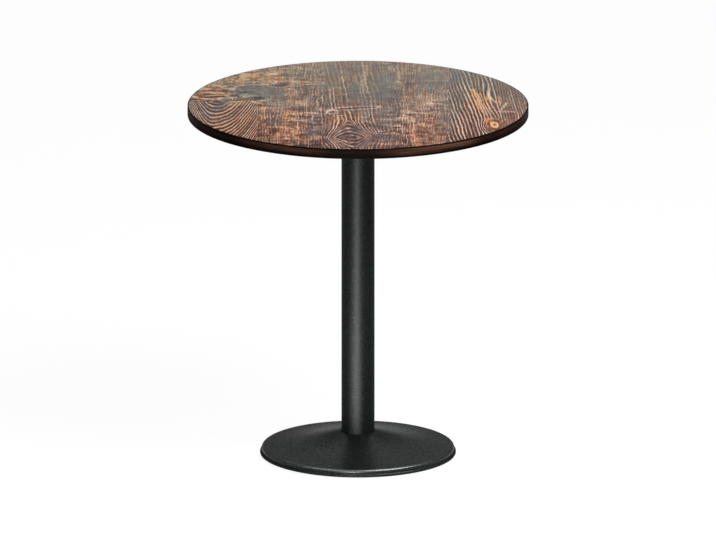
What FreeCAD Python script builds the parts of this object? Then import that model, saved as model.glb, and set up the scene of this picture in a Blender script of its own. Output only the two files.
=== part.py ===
import FreeCAD, Part
import math
import os

import Sketcher
from FreeCAD import Placement, Rotation, Vector

# Round pedestal table in millimetres, +Z up. The origin lies on the floor under the middle of the column.
# A laminated board top sits on a four-armed spider. A tie rod inside the tube column pulls the spider down
# onto the column and the column onto a bell-shaped cast foot, which stands on four screw glides.

SIZES = (
    ("table_height", 741.0, "floor to the upper face of the top"),
    ("top_diameter", 700.0, "round top over its edge band"),
    ("face_thickness", 1.0, "decorative sheet on the board"),
    ("core_thickness", 19.0, "board"),
    ("backing_thickness", 1.0, "balancing sheet under the board"),
    ("band_thickness", 2.5, "edge band, measured radially"),
    ("band_rounding", 1.6, "radius of the band's eased arrises"),
    ("glue_line", 0.05, "gap filled with glue between the band and the board"),
    ("spider_reach", 205.0, "axis to the tip of a spider arm"),
    ("arm_root_width", 46.0, "width of an arm, if carried in to the axis"),
    ("arm_tip_width", 32.0, "width of an arm at its tip"),
    ("arm_tip_bulge", 8.0, "rounded end of an arm, past its corners"),
    ("arm_overlap", 5.0, "arm carried into the hub, as one casting"),
    ("arm_thickness", 5.0, "web of an arm"),
    ("arm_lip_depth", 6.0, "side lips of an arm, below its web"),
    ("arm_lip_thickness", 4.0, "side lips of an arm, measured across"),
    ("flange_ledge", 16.0, "spider hub past the column, all round"),
    ("flange_thickness", 10.0, "spider hub, above the column"),
    ("spider_spigot_length", 18.0, "spider spigot inside the column"),
    ("spigot_clearance", 0.3, "radial gap between a spigot and the column"),
    ("nut_pocket_diameter", 36.0, "pocket in the spider hub for the upper nut"),
    ("nut_pocket_room", 1.0, "gap between the end of the rod and the top"),
    ("screw_edge", 25.0, "outer screw to the tip of its arm"),
    ("screw_spacing", 75.0, "between the two screws of an arm"),
    ("screw_diameter", 5.0, "screw shank over its thread"),
    ("screw_length", 16.0, "screw, from under its head"),
    ("screw_point", 4.0, "tapered end of a screw"),
    ("screw_head_diameter", 9.5, "pan head"),
    ("screw_head_height", 3.2, "pan head"),
    ("screw_head_rim", 1.0, "straight side of the pan head"),
    ("recess_span", 5.0, "cross recess, from end to end"),
    ("recess_width", 1.2, "one bar of the cross recess"),
    ("recess_depth", 1.8, "cross recess"),
    ("screw_hole_clearance", 0.4, "radial gap between a screw and its arm"),
    ("thread_clearance", 0.1, "radial gap in a threaded hole, whose thread is left plain"),
    ("column_diameter", 68.0, "tube column"),
    ("column_wall", 1.5, "tube column"),
    ("rod_diameter", 12.0, "tie rod"),
    ("rod_hole_clearance", 0.5, "radial gap between the rod and the castings"),
    ("rod_proud", 2.0, "rod past its nuts at both ends"),
    ("rod_chamfer", 1.0, "rod ends"),
    ("nut_width", 19.0, "nut across its flats"),
    ("nut_height", 10.0, "nut"),
    ("nut_bevel_angle", 30.0, "turned corners of a nut, in degrees"),
    ("head_washer_diameter", 30.0, "washer under the upper nut"),
    ("head_washer_thickness", 2.5, "washer under the upper nut"),
    ("base_washer_diameter", 40.0, "washer against the foot"),
    ("base_washer_thickness", 3.0, "washer against the foot"),
    ("spring_washer_diameter", 21.0, "split spring washer"),
    ("spring_washer_thickness", 3.0, "split spring washer, closed up"),
    ("spring_washer_slit", 1.5, "split of the spring washer"),
    ("washer_clearance", 0.5, "radial gap between the rod and the washers"),
    ("base_diameter", 402.0, "foot over its lip"),
    ("floor_gap", 3.0, "lip of the foot above the floor"),
    ("hub_height", 50.0, "column seat of the foot above the floor"),
    ("hub_ledge", 2.0, "flat column seat of the foot past the column, all round"),
    ("bell_radius", 570.0, "hollow curve of the foot's upper face, seen in section"),
    ("casting_wall", 7.0, "wall of the foot"),
    ("shoulder_inset", 3.0, "shoulder of the foot inside its lip"),
    ("shoulder_rise", 10.4, "shoulder of the foot above its lip"),
    ("shoulder_rounding", 6.0, "shoulder of the foot"),
    ("lip_height", 5.0, "lip of the foot"),
    ("lip_rounding", 1.4, "outer arrises of the lip, and its inner corner"),
    ("hub_floor", 12.0, "foot under the column seat"),
    ("hub_boss_margin", 10.0, "boss under the column seat past the seat, all round"),
    ("base_spigot_rise", 12.0, "ring of the foot inside the column"),
    ("base_spigot_wall", 7.0, "ring of the foot inside the column"),
    ("rib_thickness", 7.0, "ribs under the foot"),
    ("rib_setback", 1.7, "ribs above the feet of the glide bosses"),
    ("glide_inset", 46.0, "lip of the foot to the middle of a glide"),
    ("glide_boss_diameter", 22.0, "boss that takes a glide's stud"),
    ("glide_gap", 0.3, "pad to boss, screwed right in"),
    ("glide_cover", 2.8, "metal left over the end of a stud's hole"),
    ("stud_diameter", 8.0, "stud of a glide"),
    ("stud_end_gap", 0.6, "end of a stud to the end of its hole"),
    ("stud_head_diameter", 14.0, "disc of a stud, held in its pad"),
    ("stud_head_height", 3.0, "disc of a stud"),
    ("stud_socket_width", 5.0, "hexagon socket in the foot end of a stud"),
    ("stud_socket_depth", 4.0, "hexagon socket in the foot end of a stud"),
    ("stud_chamfer", 0.8, "free end of a stud"),
    ("pad_diameter", 30.0, "glide pad"),
    ("pad_height", 7.0, "glide pad"),
    ("pad_floor", 2.0, "pad below the disc of its stud"),
    ("pad_bevel", 1.5, "slanted arrises of a pad"),
    ("swivel_play", 0.1, "pad to the disc of its stud, above and below"),
    ("swivel_gap", 0.3, "pad to its stud, all round"),
    ("key_hole_diameter", 7.0, "hole in a pad, for the key that turns its stud"),
)

ARMS = 4
EDGE_MATCH = 1e-4
GLIDE_DIRECTIONS = ((1, 0), (0, 1), (-1, 0), (0, -1))

# A rounding takes no more than these shares of the walls beside it
BAND_ROUNDING = "min(Sizes.band_rounding; 0.9 * Sizes.band_thickness)"
SHOULDER_ROUNDING = "min(Sizes.shoulder_rounding; 0.7 * Sizes.shoulder_rise)"
LIP_ROUNDING = "min(Sizes.lip_rounding; 0.48 * min(Sizes.shoulder_inset; Sizes.lip_height))"

# Places that several pieces share, as expressions on the sheet
UNDERSIDE = "(Sizes.table_height - Sizes.face_thickness - Sizes.core_thickness - Sizes.backing_thickness)"
BOARD_RADIUS = "(Sizes.top_diameter / 2 - Sizes.band_thickness - Sizes.glue_line)"
ARM_FACE = f"({UNDERSIDE} - Sizes.arm_thickness)"
COLUMN_TOP = f"({UNDERSIDE} - Sizes.flange_thickness)"
FLANGE_RADIUS = "(Sizes.column_diameter / 2 + Sizes.flange_ledge)"
SPIGOT_RADIUS = "(Sizes.column_diameter / 2 - Sizes.column_wall - Sizes.spigot_clearance)"
POCKET_DEPTH = (
    "(Sizes.head_washer_thickness + Sizes.nut_height + Sizes.rod_proud + Sizes.nut_pocket_room)"
)
POCKET_FLOOR = f"({UNDERSIDE} - {POCKET_DEPTH})"
ROD_HOLE_RADIUS = "(Sizes.rod_diameter / 2 + Sizes.rod_hole_clearance)"
OUTER_SCREW = "(Sizes.spider_reach - Sizes.screw_edge)"
INNER_SCREW = f"({OUTER_SCREW} - Sizes.screw_spacing)"
SCREW_DEPTH = "(Sizes.screw_length - Sizes.arm_thickness)"
PILOT_RADIUS = "(Sizes.screw_diameter / 2 + Sizes.thread_clearance)"
HUB_UNDERSIDE = "(Sizes.hub_height - Sizes.hub_floor)"
SPRING_WASHER_TOP = f"({HUB_UNDERSIDE} - Sizes.base_washer_thickness)"
BASE_NUT_TOP = f"({SPRING_WASHER_TOP} - Sizes.spring_washer_thickness)"
ROD_BOTTOM = f"({BASE_NUT_TOP} - Sizes.nut_height - Sizes.rod_proud)"
LIP_RADIUS = "(Sizes.base_diameter / 2)"
LIP_TOP = "(Sizes.floor_gap + Sizes.lip_height)"
SHOULDER_RADIUS = f"({LIP_RADIUS} - Sizes.shoulder_inset)"
SHOULDER_HEIGHT = f"({LIP_TOP} + Sizes.shoulder_rise)"
SEAT_RADIUS = "(Sizes.column_diameter / 2 + Sizes.hub_ledge)"
GLIDE_RADIUS = f"({LIP_RADIUS} - Sizes.glide_inset)"
BOSS_FOOT = "(Sizes.pad_height + Sizes.glide_gap)"
STUD_SEAT = "(Sizes.pad_floor + Sizes.swivel_play)"

# The foot's hollow upper face is an arc, in section, from the edge of the column seat to the shoulder
BELL_RUN = f"({SHOULDER_RADIUS} - {SEAT_RADIUS})"
BELL_FALL = f"(Sizes.hub_height - {SHOULDER_HEIGHT})"
BELL_CHORD = f"sqrt({BELL_RUN}^2 + {BELL_FALL}^2)"
BELL_REACH = f"(sqrt(Sizes.bell_radius^2 - {BELL_CHORD}^2 / 4) / {BELL_CHORD})"
BELL_CENTRE_RADIUS = f"(({SEAT_RADIUS} + {SHOULDER_RADIUS}) / 2 + {BELL_REACH} * {BELL_FALL})"
BELL_CENTRE_HEIGHT = f"((Sizes.hub_height + {SHOULDER_HEIGHT}) / 2 + {BELL_REACH} * {BELL_RUN})"


def bell_height(radius, depth="0"):
    """Height of the foot's hollow upper face at a radius, or of the face parallel to it at a depth below."""
    drop = f"sqrt((Sizes.bell_radius + {depth})^2 - ({BELL_CENTRE_RADIUS} - {radius})^2)"
    return f"({BELL_CENTRE_HEIGHT} - {drop})"


STUD_HOLE_END = f"({bell_height(GLIDE_RADIUS)} - Sizes.glide_cover)"

DOC = FreeCAD.newDocument("pedestal_table")


def make_sheet():
    """Sheet of the driving sizes, one row each: name, value and meaning."""
    sheet = DOC.addObject("Spreadsheet::Sheet", "Sizes")
    for row, (name, number, meaning) in enumerate(SIZES, start=1):
        sheet.set(f"A{row}", name)
        sheet.set(f"B{row}", str(number))
        sheet.setAlias(f"B{row}", name)
        sheet.set(f"C{row}", meaning)
    DOC.recompute()
    return sheet


SHEET = make_sheet()


def value(expression):
    """Number that an expression on the sheet has now."""
    return float(SHEET.evalExpression(expression))


def pin(sketch, curve, spot, across, up):
    """Hold a curve's point at a place given by two expressions, or on an axis where one of them is "0"."""
    for kind, expression, axis in (("DistanceX", across, -2), ("DistanceY", up, -1)):
        if expression == "0":
            sketch.addConstraint(Sketcher.Constraint("PointOnObject", curve, spot, axis))
            continue
        rule = Sketcher.Constraint(kind, -1, 1, curve, spot, value(expression))
        index = sketch.addConstraint(rule)
        sketch.setExpression(f"Constraints[{index}]", expression)


def hold_radius(sketch, curve, radius):
    """Give a circle or an arc the radius that an expression says."""
    index = sketch.addConstraint(Sketcher.Constraint("Radius", curve, value(radius)))
    sketch.setExpression(f"Constraints[{index}]", radius)


def circle(sketch, radius, across="0", up="0"):
    """Circle of a radius about a place."""
    middle = Vector(value(across), value(up), 0)
    curve = sketch.addGeometry(Part.Circle(middle, Vector(0, 0, 1), value(radius)))
    pin(sketch, curve, 3, across, up)
    hold_radius(sketch, curve, radius)


def arc_between(start, end, radius, bend):
    """Arc of under half a turn from start to end, with its middle on the left or on the right of the way."""
    way = end - start
    left = Vector(-way.y, way.x, 0).normalize()
    reach = math.sqrt(radius ** 2 - (way.Length / 2) ** 2)
    middle = (start + end) / 2 + left * (reach if bend == "left" else -reach)
    first, last = (start, end) if bend == "left" else (end, start)
    angles = [math.atan2(spot.y - middle.y, spot.x - middle.x) for spot in (first, last)]
    return Part.ArcOfCircle(Part.Circle(middle, Vector(0, 0, 1), radius), *angles)


def outline(sketch, corners):
    """Closed outline through corners, each a pair of expressions. The side that leaves a corner is
    straight, or an arc where the corner also gives a radius and the side that the arc's middle is on."""
    spots = [Vector(value(corner[0]), value(corner[1]), 0) for corner in corners]
    sides = []
    for corner, spot, after in zip(corners, spots, spots[1:] + spots[:1]):
        if len(corner) == 2:
            curve = sketch.addGeometry(Part.LineSegment(spot, after))
            sides.append((curve, 1, 2))
            continue
        radius, bend = corner[2:]
        curve = sketch.addGeometry(arc_between(spot, after, value(radius), bend))
        sides.append((curve, 1, 2) if bend == "left" else (curve, 2, 1))
        hold_radius(sketch, curve, radius)
    for corner, (curve, head, tail), following in zip(corners, sides, sides[1:] + sides[:1]):
        sketch.addConstraint(Sketcher.Constraint("Coincident", curve, tail, following[0], following[1]))
        pin(sketch, curve, head, corner[0], corner[1])


def hexagon(sketch, width):
    """Regular hexagon of a width across its flats, with two corners on the horizontal axis."""
    far, near, flat = f"{width} / sqrt(3)", f"{width} / sqrt(12)", f"{width} / 2"
    outline(sketch, (
        (far, "0"), (near, flat), (f"-{near}", flat),
        (f"-{far}", "0"), (f"-{near}", f"-{flat}"), (near, f"-{flat}"),
    ))


class Piece:
    """One body of the table, built up from sketches in its own frame and set in its place."""

    made = []

    def __init__(self, label, across="0", along="0", height="0"):
        self.body = DOC.addObject("PartDesign::Body", label)
        self.body.Label = label
        self.body.Placement = Placement(Vector(), Rotation())
        for axis, expression in (("x", across), ("y", along), ("z", height)):
            self.body.setExpression(f"Placement.Base.{axis}", expression)
        Piece.made.append(self)

    def origin(self, role):
        """The body's own plane or axis of that role."""
        return next(item for item in self.body.Origin.OriginFeatures if item.Role == role)

    def sketch(self, plane, lift="0", shift="0"):
        """Sketch on one of the body's planes, lifted off it and shifted along the sketch's own X."""
        sketch = self.body.newObject("Sketcher::SketchObject", f"{self.body.Label}_sketch")
        sketch.AttachmentSupport = [(self.origin(plane), "")]
        sketch.MapMode = "FlatFace"
        sketch.setExpression("AttachmentOffset.Base.x", shift)
        sketch.setExpression("AttachmentOffset.Base.z", lift)
        DOC.recompute()
        return sketch

    def feature(self, kind, **settings):
        """Add a feature, and set its properties: a text is an expression unless the property takes a word."""
        item = self.body.newObject(f"PartDesign::{kind}", f"{self.body.Label}_{kind}")
        for name, setting in settings.items():
            if name in ("Length", "Radius", "Size"):
                item.setExpression(name, setting)
            else:
                setattr(item, name, setting)
        self.body.Tip = item
        DOC.recompute()
        return item

    def pad(self, sketch, length, down=False, both_ways=False):
        """Solid of a length on a sketch, upwards, downwards or half each way."""
        side = "Symmetric" if both_ways else "One side"
        return self.feature("Pad", Profile=sketch, Length=length, Reversed=down, SideType=side)

    def cut(self, kind, **settings):
        """Feature that takes material away, which has to make the body smaller."""
        before = self.body.Shape.Volume
        item = self.feature(kind, **settings)
        if self.body.Shape.Volume >= before:
            raise RuntimeError(f"{item.Label} cuts nothing")
        return item

    def pocket(self, sketch, depth, up=False):
        """Hole of a sketch's outline, down into the body or up into it."""
        return self.cut("Pocket", Profile=sketch, Length=depth, Reversed=up)

    def revolve(self, sketch):
        """Full turn of a sketch about its own upright axis."""
        return self.feature("Revolution", Profile=sketch, ReferenceAxis=(sketch, ["V_Axis"]), Angle=360)

    def groove(self, sketch):
        """Full turn of a sketch about its own upright axis, taken away from the body."""
        return self.cut("Groove", Profile=sketch, ReferenceAxis=(sketch, ["V_Axis"]), Angle=360)

    def around(self, originals, count):
        """Copies of features, evenly spaced about the body's upright axis."""
        axis = (self.origin("Z_Axis"), [""])
        return self.feature("PolarPattern", Originals=originals, Axis=axis, Angle=360, Occurrences=count)

    def ring_edges(self, radius, height):
        """Names of the round edges of the body so far that have a radius and a height."""
        names = []
        for number, edge in enumerate(self.body.Tip.Shape.Edges, start=1):
            if not isinstance(edge.Curve, Part.Circle):
                continue
            radius_off = abs(edge.Curve.Radius - value(radius))
            height_off = abs(edge.Curve.Center.z - value(height))
            if max(radius_off, height_off) < EDGE_MATCH:
                names.append(f"Edge{number}")
        if not names:
            raise RuntimeError(f"{self.body.Label} has no round edge of radius {radius} at {height}")
        return names

    def fillet(self, radius, height, rounding):
        """Rounding along the round edge of a radius and a height."""
        edges = (self.body.Tip, self.ring_edges(radius, height))
        return self.feature("Fillet", Base=edges, Radius=rounding)

    def chamfer(self, radius, height, size):
        """Bevel along the round edge of a radius and a height."""
        edges = (self.body.Tip, self.ring_edges(radius, height))
        return self.feature("Chamfer", Base=edges, Size=size)


def disc(label, thickness, height):
    """Round sheet or board of the top, inside the edge band."""
    piece = Piece(label, height=height)
    sketch = piece.sketch("XY_Plane")
    circle(sketch, BOARD_RADIUS)
    piece.pad(sketch, thickness)
    return piece


def drill_screw_holes(piece, radius, depth, up=False):
    """The two screw holes under each arm, in a sheet, in the board or in the arms themselves."""
    sketch = piece.sketch("XY_Plane")
    for place in (INNER_SCREW, OUTER_SCREW):
        circle(sketch, radius, across=place)
    holes = piece.pocket(sketch, depth, up=up)
    piece.around([holes], ARMS)


def make_top():
    """Board with its two sheets and the band round its edge."""
    disc("face_laminate", "Sizes.face_thickness", "Sizes.table_height - Sizes.face_thickness")
    core = disc("top_core", "Sizes.core_thickness", f"{UNDERSIDE} + Sizes.backing_thickness")
    drill_screw_holes(core, PILOT_RADIUS, f"{SCREW_DEPTH} - Sizes.backing_thickness", up=True)
    backing = disc("backing_laminate", "Sizes.backing_thickness", UNDERSIDE)
    drill_screw_holes(backing, PILOT_RADIUS, "Sizes.backing_thickness", up=True)

    band = Piece("edge_band", height=UNDERSIDE)
    outer, inner = "Sizes.top_diameter / 2", "Sizes.top_diameter / 2 - Sizes.band_thickness"
    tall = f"Sizes.table_height - {UNDERSIDE}"
    section = band.sketch("XZ_Plane")
    outline(section, ((inner, "0"), (outer, "0"), (outer, tall), (inner, tall)))
    band.revolve(section)
    for height in ("0", tall):
        band.fillet(outer, height, BAND_ROUNDING)


def arm_side(across, inset="0"):
    """Half the width of a spider arm at a distance from the axis, less an inset."""
    taper = "(Sizes.arm_root_width - Sizes.arm_tip_width) / 2 / Sizes.spider_reach"
    return f"(Sizes.arm_root_width / 2 - {taper} * ({across}) - {inset})"


def make_spider():
    """Cast spider: a hub with its spigot and its pocket for the upper nut, and four lipped arms."""
    spider = Piece("top_spider", height=UNDERSIDE)
    seat = "-Sizes.flange_thickness"
    foot = f"{seat} - Sizes.spider_spigot_length"
    pocket = "Sizes.nut_pocket_diameter / 2"
    section = spider.sketch("XZ_Plane")
    outline(section, (
        (ROD_HOLE_RADIUS, foot), (SPIGOT_RADIUS, foot), (SPIGOT_RADIUS, seat),
        (FLANGE_RADIUS, seat), (FLANGE_RADIUS, "0"), (pocket, "0"), (pocket, f"-{POCKET_DEPTH}"),
        (ROD_HOLE_RADIUS, f"-{POCKET_DEPTH}"),
    ))
    spider.revolve(section)

    root, tip = f"({FLANGE_RADIUS} - Sizes.arm_overlap)", "(Sizes.spider_reach - Sizes.arm_tip_bulge)"
    tip_radius = f"((Sizes.arm_tip_bulge^2 + {arm_side(tip)}^2) / (2 * Sizes.arm_tip_bulge))"
    plan = spider.sketch("XY_Plane")
    outline(plan, (
        (root, f"-{arm_side(root)}"), (tip, f"-{arm_side(tip)}", tip_radius, "left"),
        (tip, arm_side(tip)), (root, arm_side(root)),
    ))
    web = spider.pad(plan, "Sizes.arm_thickness", down=True)

    lips_plan = spider.sketch("XY_Plane", lift="-Sizes.arm_thickness")
    thick = "Sizes.arm_lip_thickness"
    outline(lips_plan, (
        (root, arm_side(root, thick)), (tip, arm_side(tip, thick)),
        (tip, arm_side(tip)), (root, arm_side(root)),
    ))
    outline(lips_plan, (
        (root, f"-{arm_side(root)}"), (tip, f"-{arm_side(tip)}"),
        (tip, f"-{arm_side(tip, thick)}"), (root, f"-{arm_side(root, thick)}"),
    ))
    lips = spider.pad(lips_plan, "Sizes.arm_lip_depth", down=True)
    spider.around([web, lips], ARMS)
    hole = "Sizes.screw_diameter / 2 + Sizes.screw_hole_clearance"
    drill_screw_holes(spider, hole, "Sizes.arm_thickness")


def make_screws():
    """Pan-head wood screws, two to an arm, heads down against the arms and points up in the board."""
    screws = Piece("top_screws", height=ARM_FACE)
    shank, head = "Sizes.screw_diameter / 2", "Sizes.screw_head_diameter / 2"
    dome = "(Sizes.screw_head_height - Sizes.screw_head_rim)"
    dome_radius = f"((({head})^2 + {dome}^2) / (2 * {dome}))"
    section = screws.sketch("XZ_Plane", shift=INNER_SCREW)
    outline(section, (
        ("0", "-Sizes.screw_head_height", dome_radius, "left"), (head, "-Sizes.screw_head_rim"), (head, "0"),
        (shank, "0"), (shank, "Sizes.screw_length - Sizes.screw_point"), ("0", "Sizes.screw_length"),
    ))
    screws.revolve(section)

    recess = screws.sketch("XY_Plane", lift="-Sizes.screw_head_height", shift=INNER_SCREW)
    far, near = "Sizes.recess_span / 2", "Sizes.recess_width / 2"
    outline(recess, (
        (far, f"-{near}"), (far, near), (near, near), (near, far), (f"-{near}", far), (f"-{near}", near),
        (f"-{far}", near), (f"-{far}", f"-{near}"), (f"-{near}", f"-{near}"), (f"-{near}", f"-{far}"),
        (near, f"-{far}"), (near, f"-{near}"),
    ))
    screws.pocket(recess, "Sizes.recess_depth", up=True)

    whole = {"TransformMode": "Whole shape"}
    along, upright = (screws.origin("X_Axis"), [""]), (screws.origin("Z_Axis"), [""])
    screws.feature("LinearPattern", Direction=along, Length="Sizes.screw_spacing", Occurrences=2, **whole)
    screws.feature("PolarPattern", Axis=upright, Angle=360, Occurrences=ARMS, **whole)


def ring(label, outer, inner, thickness, height):
    """Flat ring, its lower face at a height."""
    piece = Piece(label, height=height)
    sketch = piece.sketch("XY_Plane")
    circle(sketch, outer)
    circle(sketch, inner)
    piece.pad(sketch, thickness)
    return piece


def nut(label, height):
    """Hexagon nut on the rod, with its corners turned off at both ends and its thread left plain."""
    piece = Piece(label, height=height)
    sketch = piece.sketch("XY_Plane")
    hexagon(sketch, "Sizes.nut_width")
    circle(sketch, "Sizes.rod_diameter / 2 + Sizes.thread_clearance")
    piece.pad(sketch, "Sizes.nut_height")
    flat, corner = "Sizes.nut_width / 2", "(Sizes.nut_width / sqrt(3) + Sizes.thread_clearance)"
    fall = f"(({corner} - {flat}) * tan(Sizes.nut_bevel_angle))"
    turned = piece.sketch("XZ_Plane")
    outline(turned, ((flat, "0"), (corner, "0"), (corner, fall)))
    outline(turned, (
        (flat, "Sizes.nut_height"), (corner, f"Sizes.nut_height - {fall}"), (corner, "Sizes.nut_height"),
    ))
    piece.groove(turned)


def make_column():
    """Tube column between the two castings, and the rod inside it with its nuts and washers."""
    tube, seat = "Sizes.column_diameter / 2", "Sizes.hub_height"
    ring("column_tube", tube, f"{tube} - Sizes.column_wall", f"{COLUMN_TOP} - {seat}", seat)

    rod = Piece("tie_rod", height=ROD_BOTTOM)
    sketch = rod.sketch("XY_Plane")
    circle(sketch, "Sizes.rod_diameter / 2")
    length = f"({UNDERSIDE} - Sizes.nut_pocket_room - {ROD_BOTTOM})"
    rod.pad(sketch, length)
    for height in ("0", length):
        rod.chamfer("Sizes.rod_diameter / 2", height, "Sizes.rod_chamfer")

    hole = "Sizes.rod_diameter / 2 + Sizes.washer_clearance"
    ring("head_washer", "Sizes.head_washer_diameter / 2", hole, "Sizes.head_washer_thickness", POCKET_FLOOR)
    nut("head_nut", f"{POCKET_FLOOR} + Sizes.head_washer_thickness")
    ring("base_washer", "Sizes.base_washer_diameter / 2", hole,
         "Sizes.base_washer_thickness", SPRING_WASHER_TOP)
    spring = ring("spring_washer", "Sizes.spring_washer_diameter / 2", hole,
                  "Sizes.spring_washer_thickness", BASE_NUT_TOP)
    slit = spring.sketch("XY_Plane")
    half, outside = "Sizes.spring_washer_slit / 2", "Sizes.spring_washer_diameter"
    outline(slit, (("0", f"-{half}"), (outside, f"-{half}"), (outside, half), ("0", half)))
    spring.pocket(slit, "Sizes.spring_washer_thickness", up=True)
    nut("base_nut", f"{BASE_NUT_TOP} - Sizes.nut_height")


def make_foot():
    """Bell-shaped cast foot: hub, hollow upper face, rounded shoulder, lip, ribs and glide bosses."""
    foot = Piece("base_casting")
    wall = "Sizes.casting_wall"
    skirt = f"({SHOULDER_RADIUS} - {wall})"
    boss = f"({SEAT_RADIUS} + Sizes.hub_boss_margin)"
    seat = "Sizes.hub_height"
    rise = f"{seat} + Sizes.base_spigot_rise"
    bore = f"({SPIGOT_RADIUS} - Sizes.base_spigot_wall)"
    section = foot.sketch("XZ_Plane")
    outline(section, (
        (ROD_HOLE_RADIUS, seat), (bore, seat), (bore, rise), (SPIGOT_RADIUS, rise), (SPIGOT_RADIUS, seat),
        (SEAT_RADIUS, seat, "Sizes.bell_radius", "left"), (SHOULDER_RADIUS, SHOULDER_HEIGHT),
        (SHOULDER_RADIUS, LIP_TOP), (LIP_RADIUS, LIP_TOP),
        (LIP_RADIUS, "Sizes.floor_gap"), (skirt, "Sizes.floor_gap"),
        (skirt, bell_height(skirt, wall), f"Sizes.bell_radius + {wall}", "right"),
        (boss, bell_height(boss, wall)), (boss, HUB_UNDERSIDE), (ROD_HOLE_RADIUS, HUB_UNDERSIDE),
    ))
    foot.revolve(section)
    foot.fillet(SHOULDER_RADIUS, SHOULDER_HEIGHT, SHOULDER_ROUNDING)
    foot.fillet(SHOULDER_RADIUS, LIP_TOP, LIP_ROUNDING)
    for height in (LIP_TOP, "Sizes.floor_gap"):
        foot.fillet(LIP_RADIUS, height, LIP_ROUNDING)

    half_wall = f"{wall} / 2"
    near, far = f"({boss} - {wall})", f"({skirt} + {half_wall})"
    rib_foot = f"{BOSS_FOOT} + Sizes.rib_setback"
    rib_section = foot.sketch("XZ_Plane")
    outline(rib_section, (
        (near, rib_foot), (far, rib_foot),
        (far, bell_height(far, half_wall), f"Sizes.bell_radius + {half_wall}", "right"),
        (near, bell_height(near, half_wall)),
    ))
    rib = foot.pad(rib_section, "Sizes.rib_thickness", both_ways=True)
    boss_plan = foot.sketch("XY_Plane", lift=BOSS_FOOT)
    circle(boss_plan, "Sizes.glide_boss_diameter / 2", across=GLIDE_RADIUS)
    glide_boss = foot.pad(boss_plan, f"{bell_height(GLIDE_RADIUS, half_wall)} - {BOSS_FOOT}")
    foot.around([rib, glide_boss], len(GLIDE_DIRECTIONS))
    hole_plan = foot.sketch("XY_Plane", lift=BOSS_FOOT)
    circle(hole_plan, "Sizes.stud_diameter / 2 + Sizes.thread_clearance", across=GLIDE_RADIUS)
    hole = foot.pocket(hole_plan, f"{STUD_HOLE_END} - {BOSS_FOOT}", up=True)
    foot.around([hole], len(GLIDE_DIRECTIONS))


def make_glide(number, across, along):
    """Levelling glide: a pad that holds the disc of its stud, which screws up into the foot."""
    place = {"across": f"{across} * {GLIDE_RADIUS}", "along": f"{along} * {GLIDE_RADIUS}"}
    side, bevel = "Sizes.pad_diameter / 2", "Sizes.pad_bevel"
    neck = "Sizes.stud_diameter / 2 + Sizes.swivel_gap"
    room = "Sizes.stud_head_diameter / 2 + Sizes.swivel_gap"
    key = "Sizes.key_hole_diameter / 2"
    ceiling = f"({STUD_SEAT} + Sizes.stud_head_height + Sizes.swivel_play)"
    pad = Piece(f"glide_{number}_pad", **place)
    section = pad.sketch("XZ_Plane")
    outline(section, (
        (key, "0"), (f"{side} - {bevel}", "0"), (side, bevel), (side, f"Sizes.pad_height - {bevel}"),
        (f"{side} - {bevel}", "Sizes.pad_height"), (neck, "Sizes.pad_height"), (neck, ceiling),
        (room, ceiling), (room, "Sizes.pad_floor"), (key, "Sizes.pad_floor"),
    ))
    pad.revolve(section)

    stud = Piece(f"glide_{number}_stud", height=STUD_SEAT, **place)
    plan = stud.sketch("XY_Plane")
    circle(plan, "Sizes.stud_head_diameter / 2")
    stud.pad(plan, "Sizes.stud_head_height")
    shank_plan = stud.sketch("XY_Plane")
    circle(shank_plan, "Sizes.stud_diameter / 2")
    length = f"({STUD_HOLE_END} - Sizes.stud_end_gap - {STUD_SEAT})"
    stud.pad(shank_plan, length)
    stud.chamfer("Sizes.stud_diameter / 2", length, "Sizes.stud_chamfer")
    socket = stud.sketch("XY_Plane")
    hexagon(socket, "Sizes.stud_socket_width")
    stud.pocket(socket, "Sizes.stud_socket_depth", up=True)


def check_document():
    """Stop if any object of the document failed, or if a piece has no valid shape."""
    for item in DOC.Objects:
        if "Invalid" in item.State or "Error" in item.State:
            raise RuntimeError(f"{item.Label} failed: {item.State}")
    for piece in Piece.made:
        shape = piece.body.Shape
        if shape.isNull() or not shape.isValid():
            raise RuntimeError(f"{piece.body.Label} has no valid shape")


def write_pieces():
    """One STEP file for each piece, named by its label."""
    os.makedirs("parts", exist_ok=True)
    for piece in Piece.made:
        shape = piece.body.Shape
        shape.exportStep(os.path.join("parts", f"{piece.body.Label}.step"))
        print(f"{piece.body.Label}: {len(shape.Solids)} solid(s), {shape.Volume / 1000:.1f} cm3")


make_top()
make_spider()
make_screws()
make_column()
make_foot()
for glide_number, (glide_across, glide_along) in enumerate(GLIDE_DIRECTIONS, start=1):
    make_glide(glide_number, glide_across, glide_along)
DOC.recompute()
check_document()
write_pieces()
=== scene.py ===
"""Looks of a round pedestal table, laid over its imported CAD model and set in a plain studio."""

import math

import bpy
import numpy as np
from bpy.props import FloatProperty, FloatVectorProperty, IntProperty, PointerProperty
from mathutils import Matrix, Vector


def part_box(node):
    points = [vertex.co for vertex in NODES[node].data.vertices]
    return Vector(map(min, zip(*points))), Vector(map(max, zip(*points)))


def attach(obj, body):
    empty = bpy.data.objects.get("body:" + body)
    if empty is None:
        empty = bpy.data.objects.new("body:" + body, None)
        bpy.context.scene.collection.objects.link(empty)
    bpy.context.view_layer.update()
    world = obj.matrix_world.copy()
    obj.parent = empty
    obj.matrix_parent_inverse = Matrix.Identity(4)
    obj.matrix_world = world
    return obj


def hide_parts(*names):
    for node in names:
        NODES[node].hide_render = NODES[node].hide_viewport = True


bl_info = {
    "name": "Round pedestal table",
    "version": (1, 0, 0),
    "blender": (4, 5, 0),
    "location": "3D View > Sidebar > Table",
    "description": "Finishes the pieces of a round pedestal table and sets them in a plain studio",
    "category": "Object",
}

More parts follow.
